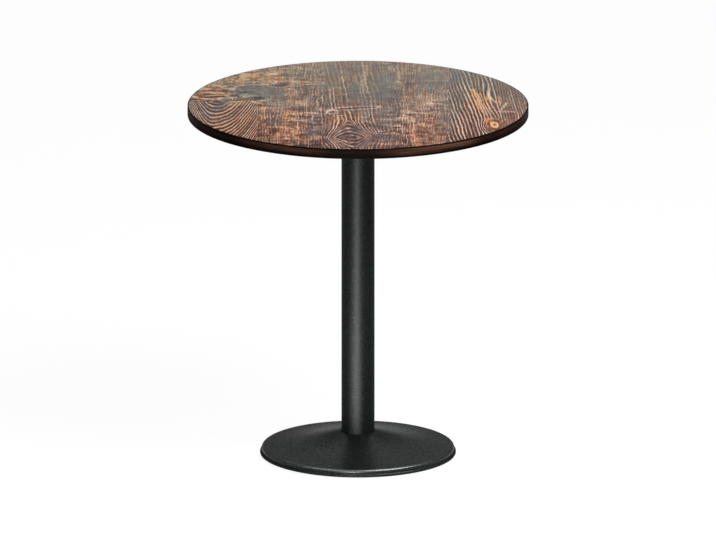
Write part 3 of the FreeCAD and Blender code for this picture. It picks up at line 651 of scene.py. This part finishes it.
def burnt_edge(wood):
    """Edge band: lighter streaks along the edge, two of them painted highlights at its front left and front
    right, darker towards both arrises: the upper arris is burnt almost black, and the darkening towards the
    lower one is burnt wood and painted shade.
    """
    material, graph = new_material("burnt_edge")
    low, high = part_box("edge_band")
    uv = graph.add("ShaderNodeUVMap", {"uv_map": "UVMap"}, {}).outputs[0]
    height = Term(graph, graph.add("ShaderNodeSeparateXYZ", {}, {0: graph.place()}).outputs[2])
    level = (height - low.z) / (high.z - low.z)
    streak = graph.noise(graph.stretched(uv, (7.0, 420.0, 1.0)), 1.0, 3.0, 0.6)
    broad = graph.noise(graph.stretched(uv, (7.0, 60.0, 1.0)), 1.0, 2.0, 0.5)
    fine = graph.noise(graph.stretched(uv, (60.0, 1800.0, 1.0)), 1.0, 2.0, 0.6)
    upper = graph.step(level + (broad - 0.5) * 0.12, 0.97, 0.76)
    # Darker towards the lower arris: burnt wood and painted shade, where the band turns away from the light
    # above
    lower = graph.step(level + (broad - 0.5) * 0.30, 0.12, 0.74)
    way = Term(graph, graph.add("ShaderNodeSeparateXYZ", {}, {0: uv}).outputs[0])
    bare = 0.16
    for middle, half, strength in EDGE_STREAKS_AND_HIGHLIGHTS:
        near = graph.step(graph.math("ABSOLUTE", way - middle) / half + (broad - 0.5) * 0.6, 1.3, 0.3)
        bare = graph.math("MAXIMUM", near * strength, bare)
    lit = upper * lower * bare * graph.step(streak * 0.7 + broad * 0.3, 0.30, 0.62)
    painted = graph.mix(lit, wood.edge_dark, wood.edge_light)
    painted = graph.mix(graph.step(fine, 0.50, 0.75) * 0.5, painted, wood.edge_dark)
    graph.surface(
        Base_Color=painted,
        Roughness=0.62 + (streak - 0.5) * 0.2,
        Specular_IOR_Level=wood.edge_gloss,
        Normal=graph.bump(streak * 0.6 + fine * 0.4, wood.relief),
    )
    return material


def coat_surface(graph, place, coat, gloss, roughness, index=1.5):
    """Black sand-like grain with a slow unevenness, under a clear coat that the grain breaks up."""
    sand = graph.noise(place, 1.0 / coat.grain, 2.0, 0.6)
    peel = graph.noise(place, 0.22 / coat.grain)
    cloud = graph.noise(place, 9.0)
    painted = graph.mix(graph.step(sand, 0.50, 0.78) * 0.8, coat.body, coat.tip)
    painted = graph.mix(graph.step(cloud, 0.35, 0.75) * 0.25, painted, coat.tip)
    graph.surface(
        Base_Color=painted,
        Roughness=0.60 + (sand - 0.5) * 0.25 + (cloud - 0.5) * 0.08,
        Specular_IOR_Level=0.0,
        Coat_Weight=gloss * (graph.step(sand, 0.36, 0.66) * 0.8 + 0.6),
        Coat_Roughness=roughness,
        Coat_IOR=index,
        Normal=graph.bump(sand * 0.75 + peel * 0.25, coat.relief),
    )


def powder_coat(name, coat, gloss, roughness):
    """Black powder coat with an even gloss."""
    material, graph = new_material(name)
    coat_surface(graph, graph.place(), coat, gloss, roughness)
    return material


# Where the foot's coat changes: distances from its axis in mm, and heights from its rim to its shoulder in m
HUB_END, FACE_START = 45.0, 125.0
RIM_TOP, SHOULDER = 0.0120, 0.0150


def foot_coat(coat):
    """Black powder coat of the foot: glossy on its face and shoulder, duller up the hub and on the rim."""
    material, graph = new_material("foot_coat")
    place = graph.place()
    height = Term(graph, graph.add("ShaderNodeSeparateXYZ", {}, {0: place}).outputs[2])
    outward = graph.step(graph.reach(place, (0.0, 0.0), (1.0, 1.0)), HUB_END, FACE_START)
    above = graph.step(height, RIM_TOP, SHOULDER)
    gloss = graph.blend(outward, coat.hub_gloss, coat.face_gloss) * graph.blend(above, coat.rim_gloss, 1.0)
    coat_surface(graph, place, coat, gloss, coat.foot_roughness, coat.foot_index)
    return material


def zinc_plate(hardware):
    """Bright zinc plate: metal with faint mottling and a slightly uneven polish."""
    material, graph = new_material("zinc_plate")
    place = graph.place()
    mottle = graph.noise(place, 260.0, 3.0, 0.6)
    film = graph.noise(place, 70.0, 2.0, 0.5)
    dull = tuple(0.62 * part for part in hardware.zinc)
    painted = graph.mix(graph.step(mottle, 0.30, 0.70), dull, hardware.zinc)
    warm = (hardware.zinc[0], hardware.zinc[1] * 0.93, hardware.zinc[2] * 0.76)
    painted = graph.mix(graph.step(film, 0.45, 0.75) * 0.5, painted, warm)
    graph.surface(
        Base_Color=painted,
        Metallic=1.0,
        Roughness=0.30 + (mottle - 0.5) * 0.3,
        Normal=graph.bump(mottle, 0.00003),
    )
    return material


def moulded_nylon(hardware):
    """Moulded black nylon with a fine spark-etched grain."""
    material, graph = new_material("moulded_nylon")
    place = graph.place()
    etch = graph.noise(place, 1600.0, 2.0, 0.6)
    cloud = graph.noise(place, 120.0, 2.0, 0.5)
    scuffed = tuple(2.6 * part for part in hardware.nylon)
    painted = graph.mix(graph.step(cloud + (etch - 0.5) * 0.4, 0.40, 0.85), hardware.nylon, scuffed)
    graph.surface(
        Base_Color=painted,
        Roughness=0.55 + (etch - 0.5) * 0.3,
        Specular_IOR_Level=0.35,
        Normal=graph.bump(etch, 0.00004),
    )
    return material


def backing_sheet(hardware):
    """Dark balancing sheet: a faint cloudy print and a fine pearled texture."""
    material, graph = new_material("backing_sheet")
    place = graph.place()
    cloud = graph.noise(graph.stretched(place, (40.0, 9.0, 1.0)), 1.0, 4.0, 0.6)
    pearl = graph.noise(place, 900.0, 2.0, 0.5)
    darker = tuple(0.55 * part for part in hardware.backing)
    painted = graph.mix(graph.step(cloud, 0.30, 0.70), darker, hardware.backing)
    graph.surface(
        Base_Color=painted,
        Roughness=0.55 + (pearl - 0.5) * 0.2,
        Specular_IOR_Level=0.3,
        Normal=graph.bump(pearl, 0.00004),
    )
    return material


def chip_board(hardware):
    """Particle board: flat wood chips of mixed tones."""
    material, graph = new_material("chip_board")
    place = graph.place()
    settings = {"feature": "F1"}
    chips = graph.add("ShaderNodeTexVoronoi", settings, {"Vector": place, "Scale": 420.0}).outputs["Color"]
    tone = Term(graph, graph.add("ShaderNodeSeparateXYZ", {}, {0: chips}).outputs[0])
    grit = graph.noise(place, 900.0, 3.0, 0.6)
    darker = tuple(0.5 * part for part in hardware.chip)
    painted = graph.mix(tone * 0.7 + grit * 0.3, darker, hardware.chip)
    graph.surface(
        Base_Color=painted,
        Roughness=0.75 + (grit - 0.5) * 0.2,
        Normal=graph.bump(tone * 0.5 + grit * 0.5, 0.0002),
    )
    return material


def quads(rows, columns, close_rows):
    """Corner numbers of the quads between neighbouring rings of a grid whose columns close round."""
    last = rows if close_rows else rows - 1
    row, column = np.meshgrid(np.arange(last), np.arange(columns), indexing="ij")
    above, beside = (row + 1) % rows, (column + 1) % columns
    lower, upper = row * columns, above * columns
    corners = (lower + column, lower + beside, upper + beside, upper + column)
    return np.stack(corners, axis=-1).reshape(-1, 4)


def make_piece(name, points, faces, material, body, replaced):
    """Mesh piece in the table's frame that stands for CAD nodes and rides on a body."""
    mesh = bpy.data.meshes.new(name)
    mesh.from_pydata(points.tolist(), [], faces)
    mesh.polygons.foreach_set("use_smooth", np.ones(len(mesh.polygons), dtype=bool))
    mesh.set_sharp_from_angle(angle=math.radians(38.0))
    mesh.materials.append(material)
    mesh.update()
    if mesh.validate(verbose=False):
        raise RuntimeError(f"{name} has faults in its mesh")
    piece = bpy.data.objects.new(name, mesh)
    bpy.context.scene.collection.objects.link(piece)
    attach(piece, body)
    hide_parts(*replaced)
    return piece


def turned(radius, height, centre):
    """Closed surface of rings round an upright axis.

    Ring i at angle j lies at radius[i, j] from the axis and at height[i, j]. Each ring joins the next, the
    angles close round, and a point on the axis closes the first and the last ring, from the bottom up.
    """
    rings, steps = radius.shape
    angle = np.linspace(0.0, 2.0 * np.pi, steps, endpoint=False)
    x = centre[0] + radius * np.cos(angle)
    y = centre[1] + radius * np.sin(angle)
    grid = np.stack((x, y, height), axis=-1).reshape(-1, 3)
    ends = np.array(((*centre, height[0].mean()), (*centre, height[-1].mean())))
    points = np.vstack((grid, ends))
    first = np.arange(steps)
    second = (first + 1) % steps
    top = (rings - 1) * steps
    bottom_fan = np.stack((second, first, np.full(steps, rings * steps)), axis=-1)
    top_fan = np.stack((top + first, top + second, np.full(steps, rings * steps + 1)), axis=-1)
    faces = quads(rings, steps, False).tolist() + bottom_fan.tolist() + top_fan.tolist()
    return points, faces


def ring_rows(radii, heights, steps):
    """Plain round rings as rows of radius and height."""
    return np.repeat(np.array(radii)[:, None], steps, 1), np.repeat(np.array(heights)[:, None], steps, 1)


def thread_rows(outer, pitch, low, high, steps):
    """Rings of a right-handed thread between two heights.

    The radius falls from the outer radius by a triangle wave of the height in pitches less the angle in
    turns, 0.6 pitches deep, and the thread runs out over one pitch at both ends.
    """
    height = np.arange(low, high, pitch / 8.0)[:, None] * np.ones((1, steps))
    turn = np.linspace(0.0, 1.0, steps, endpoint=False)[None, :]
    phase = (height / pitch - turn) % 1.0
    wave = np.clip(1.15 * np.abs(2.0 * phase - 1.0) - 0.075, 0.0, 1.0)
    run_out = np.clip(np.minimum(height - low, high - height) / pitch, 0.0, 1.0)
    return outer - 0.6 * pitch * wave * run_out, height


def hexagon_rows(width, heights, steps):
    """Rings of a hexagon: half the width across flats, over the cosine of the angle off a flat."""
    angle = np.linspace(0.0, 2.0 * np.pi, steps, endpoint=False)
    off_flat = (angle % (np.pi / 3.0)) - np.pi / 6.0
    radius = np.repeat((0.5 * width / np.cos(off_flat))[None, :], len(heights), 0)
    return radius, np.repeat(np.array(heights)[:, None], steps, 1)


def stacked(*rows):
    """Rows of radius and height, one group above another."""
    return np.vstack([row[0] for row in rows]), np.vstack([row[1] for row in rows])


class TablePiece:
    """What the table's operators share: each can be undone."""

    bl_options = {"REGISTER", "UNDO"}


class TABLE_OT_face(TablePiece, bpy.types.Operator):
    """Finish the printed wood face and the sheet and board under it"""

    bl_idname = "table.face"
    bl_label = "Face, board and backing"

    def execute(self, context):
        scene = context.scene
        finish_nodes(burnt_planks(scene.table_wood), "face_laminate")
        finish_nodes(chip_board(scene.table_hardware), "top_core")
        finish_nodes(backing_sheet(scene.table_hardware), "backing_laminate")
        return {"FINISHED"}


class TABLE_OT_edge(TablePiece, bpy.types.Operator):
    """Make the edge band with its eased arrises"""

    bl_idname = "table.edge"
    bl_label = "Edge band"

    def execute(self, context):
        scene = context.scene
        low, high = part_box("edge_band")
        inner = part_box("face_laminate")[1].x
        points, faces, uv = band_surface(high.x, inner, low.z, high.z, scene.table_hardware)
        wood = burnt_edge(scene.table_wood)
        band = make_piece("edge_band_skin", points, faces, wood, "table", ["edge_band"])
        layer = band.data.uv_layers.new(name="UVMap")
        layer.data.foreach_set("uv", uv.ravel())
        return {"FINISHED"}


def band_surface(outer, inner, low, high, hardware):
    """Rounded oblong section carried round a circle, and its map: length round the top by section length.

    The section goes up the outside, over the upper arris, down the inside and back. Each arris is a quarter
    circle about a centre set in by the rounding.
    """
    rounding, steps = hardware.band_rounding, hardware.band_steps
    gap = 0.00005
    bend = np.linspace(0.0, np.pi / 2.0, 9)
    side = np.linspace(low + rounding, high - rounding, 12)[1:-1]
    lower_r = outer - rounding + rounding * np.sin(bend)
    lower_z = low + rounding - rounding * np.cos(bend)
    upper_r = outer - rounding + rounding * np.cos(bend)
    upper_z = high - rounding + rounding * np.sin(bend)
    back = inner + gap
    radius = np.concatenate(([back], lower_r, np.full(len(side), outer), upper_r, [back]))
    height = np.concatenate(([low], lower_z, side, upper_z, [high]))
    angle = np.linspace(0.0, 2.0 * np.pi, steps, endpoint=False) + np.pi / 2.0
    x, y = radius[:, None] * np.cos(angle), radius[:, None] * np.sin(angle)
    z = np.repeat(height[:, None], steps, 1)
    points = np.stack((x, y, z), axis=-1).reshape(-1, 3)
    faces = quads(len(radius), steps, True)
    way = np.concatenate(([0.0], np.cumsum(np.hypot(np.diff(radius), np.diff(height)))))
    row, column = faces // steps, faces % steps
    wrapped = (column == 0) & (column[:, [0]] == steps - 1)
    along = (column + wrapped * steps) * (2.0 * np.pi * outer / steps)
    uv = np.stack((along, way[row]), axis=-1)
    return points, faces.tolist(), uv


class TABLE_OT_spider(TablePiece, bpy.types.Operator):
    """Finish the spider under the top and its screws"""

    bl_idname = "table.spider"
    bl_label = "Spider and screws"

    def execute(self, context):
        coat = context.scene.table_coat
        black = powder_coat("spider_coat", coat, coat.spider_gloss, coat.spider_roughness)
        finish_nodes(black, "top_spider")
        finish_nodes(shared_zinc(context), "top_screws")
        return {"FINISHED"}


class TABLE_OT_column(TablePiece, bpy.types.Operator):
    """Finish the tube column"""

    bl_idname = "table.column"
    bl_label = "Column"

    def execute(self, context):
        coat = context.scene.table_coat
        black = powder_coat("column_coat", coat, coat.column_gloss, coat.column_roughness)
        finish_nodes(black, "column_tube")
        return {"FINISHED"}


class TABLE_OT_rod(TablePiece, bpy.types.Operator):
    """Make the tie rod with a thread at each end, and finish its nuts and washers"""

    bl_idname = "table.rod"
    bl_label = "Tie rod, nuts and washers"

    def execute(self, context):
        hardware = context.scene.table_hardware
        zinc = shared_zinc(context)
        finish_nodes(zinc, "head_washer", "head_nut", "base_washer", "spring_washer", "base_nut")
        low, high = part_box("tie_rod")
        outer, pitch, steps = high.x, hardware.rod_pitch, 48
        bevel = 0.001
        foot, head = low.z + bevel, high.z - bevel
        rows = stacked(
            ring_rows((outer - bevel,), (low.z,), steps),
            thread_rows(outer, pitch, foot, foot + hardware.rod_thread, steps),
            thread_rows(outer, pitch, head - hardware.rod_thread, head, steps),
            ring_rows((outer - bevel,), (high.z,), steps),
        )
        points, faces = turned(*rows, (0.0, 0.0))
        make_piece("tie_rod_threaded", points, faces, zinc, "table", ["tie_rod"])
        return {"FINISHED"}


class TABLE_OT_foot(TablePiece, bpy.types.Operator):
    """Finish the bell-shaped cast foot"""

    bl_idname = "table.foot"
    bl_label = "Foot"

    def execute(self, context):
        coat = context.scene.table_coat
        finish_nodes(foot_coat(coat), "base_casting")
        return {"FINISHED"}


class TABLE_OT_glides(TablePiece, bpy.types.Operator):
    """Make the threaded studs of the four glides and finish their pads"""

    bl_idname = "table.glides"
    bl_label = "Glides"

    def execute(self, context):
        hardware = context.scene.table_hardware
        zinc, nylon = shared_zinc(context), moulded_nylon(hardware)
        for number in GLIDES:
            node = f"glide_{number}_stud"
            finish_nodes(nylon, f"glide_{number}_pad")
            points, faces = stud_surface(*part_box(node), hardware)
            make_piece(f"{node}_threaded", points, faces, zinc, f"stud_{number}", [node])
        return {"FINISHED"}


def stud_surface(low, high, hardware):
    """Stud of a glide from the bottom up: hexagon socket, disc and a threaded shank with a bevelled end."""
    steps, bevel = 48, 0.0008
    middle = (low + high) / 2.0
    disc, shank = (high.x - low.x) / 2.0, hardware.stud_diameter / 2.0
    seat = low.z + hardware.stud_disc
    rows = stacked(
        hexagon_rows(hardware.socket, (low.z + hardware.socket_depth, low.z), steps),
        ring_rows((disc, disc, shank), (low.z, seat, seat), steps),
        thread_rows(shank, hardware.stud_pitch, seat + 0.0002, high.z - bevel, steps),
        ring_rows((shank - bevel,), (high.z,), steps),
    )
    return turned(*rows, (middle.x, middle.y))


def shared_zinc(context):
    """Zinc plate, made once."""
    return bpy.data.materials.get("zinc_plate") or zinc_plate(context.scene.table_hardware)


class TABLE_OT_stage(TablePiece, bpy.types.Operator):
    """Set the floor, the light and the camera"""

    bl_idname = "table.stage"
    bl_label = "Floor, light and camera"

    def execute(self, context):
        studio = context.scene.table_studio
        make_world(context.scene, studio)
        make_floor(context.scene, studio)
        for name, place, aim, size, radiance, shine_only in SOFTBOXES:
            lamp = make_softbox(context.scene, name, Vector(place), Vector(aim), size, radiance)
            lamp.visible_diffuse = not shine_only
        make_camera(context.scene, studio)
        context.scene.view_settings.view_transform = "Standard"
        return {"FINISHED"}


# Softboxes as (name, place, aim, (width, height), radiance, whether only reflections show it), in metres
SOFTBOXES = (
    ("upper_box", (0.95, -0.90, 2.05), (0.0, -0.1, 0.4), (1.2, 1.2), 8.0, False),
    ("floor_board", (-0.12, -0.97, 0.03), (-0.12, -0.96, 1.03), (0.38, 1.5), 33.0, True),
    ("low_board", (-0.22, -1.60, 0.20), (0.0, 0.0, 0.2), (0.30, 0.36), 40.0, True),
    ("shoulder_box", (1.10, -1.00, 2.05), (0.0, -0.1, 0.2), (2.6, 1.0), 8.0, True),
    ("fill_box", (-1.10, -1.00, 2.05), (0.0, -0.1, 0.2), (1.8, 1.0), 5.6, True),
    ("back_board", (0.0, 0.50, 0.80), (0.0, 0.0, 0.80), (1.6, 0.10), 4.4, True),
)


def seen_rays(graph):
    """1 for rays that show the background: from the camera, in reflections and through clear things."""
    path = graph.add("ShaderNodeLightPath", {}, {}).outputs
    total = Term(graph, path["Is Camera Ray"]) + Term(graph, path["Is Glossy Ray"])
    return graph.math("MINIMUM", total + Term(graph, path["Is Transmission Ray"]), 1.0)


def make_world(scene, studio):
    """Even white light from all round."""
    world = bpy.data.worlds.new("studio")
    world.use_nodes = True
    graph = Graph(world.node_tree)
    even = graph.add("ShaderNodeBackground", {}, {"Color": WHITE, "Strength": studio.ambient})
    graph.add("ShaderNodeOutputWorld", {}, {"Surface": even.outputs[0]})
    scene.world = world


def make_floor(scene, studio):
    """Pale floor that keeps a soft shadow and is clear from below, so that the underside can be looked at."""
    material, graph = new_material("studio_floor")
    grey = graph.add("ShaderNodeBsdfDiffuse", {}, {"Color": opaque((studio.floor_grey,) * 3)}).outputs[0]
    white = graph.add("ShaderNodeEmission", {}, {"Color": WHITE, "Strength": studio.floor_white}).outputs[0]
    clear = graph.add("ShaderNodeBsdfTransparent", {}, {}).outputs[0]
    lift = seen_rays(graph) * studio.floor_lift
    back = graph.add("ShaderNodeNewGeometry", {}, {}).outputs["Backfacing"]
    shown = graph.add("ShaderNodeMixShader", {}, {0: lift, 1: grey, 2: white}).outputs[0]
    both = graph.add("ShaderNodeMixShader", {}, {0: back, 1: shown, 2: clear}).outputs[0]
    graph.add("ShaderNodeOutputMaterial", {}, {"Surface": both})
    mesh = bpy.data.meshes.new("studio_floor")
    mesh.from_pydata(*floor_surface(studio))
    mesh.materials.append(material)
    floor = bpy.data.objects.new("studio_floor", mesh)
    scene.collection.objects.link(floor)


def floor_surface(studio):
    """Floor and backdrop: a disc whose edge bends up, as a quarter circle, into a low wall all round."""
    steps, inner = 96, 0.5
    bend = np.linspace(0.0, np.pi / 2.0, 13)
    rounding, reach = 0.75 * studio.backdrop, studio.floor_reach
    radius = np.concatenate(([inner], reach + rounding * np.sin(bend), [reach + rounding]))
    height = np.concatenate(([0.0], rounding * (1.0 - np.cos(bend)), [studio.backdrop]))
    angle = np.linspace(0.0, 2.0 * np.pi, steps, endpoint=False)
    x, y = radius[:, None] * np.cos(angle), radius[:, None] * np.sin(angle)
    z = np.repeat(height[:, None], steps, 1)
    points = np.stack((x, y, z), axis=-1).reshape(-1, 3)
    faces = quads(len(radius), steps, False)[:, ::-1].tolist()
    return points.tolist(), [], [list(range(steps)), *faces]


def make_softbox(scene, name, place, aim, size, radiance):
    """Oblong lamp at a place, turned towards another."""
    data = bpy.data.lights.new(name, "AREA")
    data.shape = "RECTANGLE"
    data.size, data.size_y = size
    data.energy = radiance * math.pi * size[0] * size[1]
    lamp = bpy.data.objects.new(name, data)
    lamp.location = place
    lamp.rotation_euler = (aim - place).to_track_quat("-Z", "Y").to_euler()
    lamp.visible_camera = False
    scene.collection.objects.link(lamp)
    return lamp


def make_camera(scene, studio):
    """Camera at the photo's angle, of parallel rays, because the photo shows hardly any perspective."""
    data = bpy.data.cameras.new("camera")
    data.type = "ORTHO"
    data.ortho_scale = studio.frame_width
    camera = bpy.data.objects.new("camera", data)
    back = Vector((0.0, -math.cos(studio.elevation), math.sin(studio.elevation)))
    camera.location = Vector((0.0, 0.0, studio.aim_height)) + back * CAMERA_DISTANCE
    camera.rotation_euler = (-back).to_track_quat("-Z", "Y").to_euler()
    scene.collection.objects.link(camera)
    scene.camera = camera


GROUPS = (
    ("table_wood", WoodFinish),
    ("table_coat", CoatFinish),
    ("table_hardware", HardwareFinish),
    ("table_studio", StudioSettings),
)
OPERATORS = (
    TABLE_OT_face,
    TABLE_OT_edge,
    TABLE_OT_spider,
    TABLE_OT_column,
    TABLE_OT_rod,
    TABLE_OT_foot,
    TABLE_OT_glides,
    TABLE_OT_stage,
)


class TABLE_PT_panel(bpy.types.Panel):
    """Pieces of the table and their settings"""

    bl_idname = "TABLE_PT_panel"
    bl_label = "Pedestal table"
    bl_space_type = "VIEW_3D"
    bl_region_type = "UI"
    bl_category = "Table"

    def draw(self, context):
        layout = self.layout
        for operator in OPERATORS:
            layout.operator(operator.bl_idname)
        for attribute, group in GROUPS:
            box = layout.box()
            settings = getattr(context.scene, attribute)
            for name in group.__annotations__:
                box.prop(settings, name)


def register():
    for attribute, group in GROUPS:
        bpy.utils.register_class(group)
        setattr(bpy.types.Scene, attribute, PointerProperty(type=group))
    for part in (*OPERATORS, TABLE_PT_panel):
        bpy.utils.register_class(part)


def unregister():
    for part in (TABLE_PT_panel, *reversed(OPERATORS)):
        bpy.utils.unregister_class(part)
    for attribute, group in reversed(GROUPS):
        delattr(bpy.types.Scene, attribute)
        bpy.utils.unregister_class(group)


def main():
    """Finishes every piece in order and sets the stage."""
    register()
    for operator in OPERATORS:
        family, name = operator.bl_idname.split(".")
        getattr(getattr(bpy.ops, family), name)()


if __name__ == "__main__":
    main()
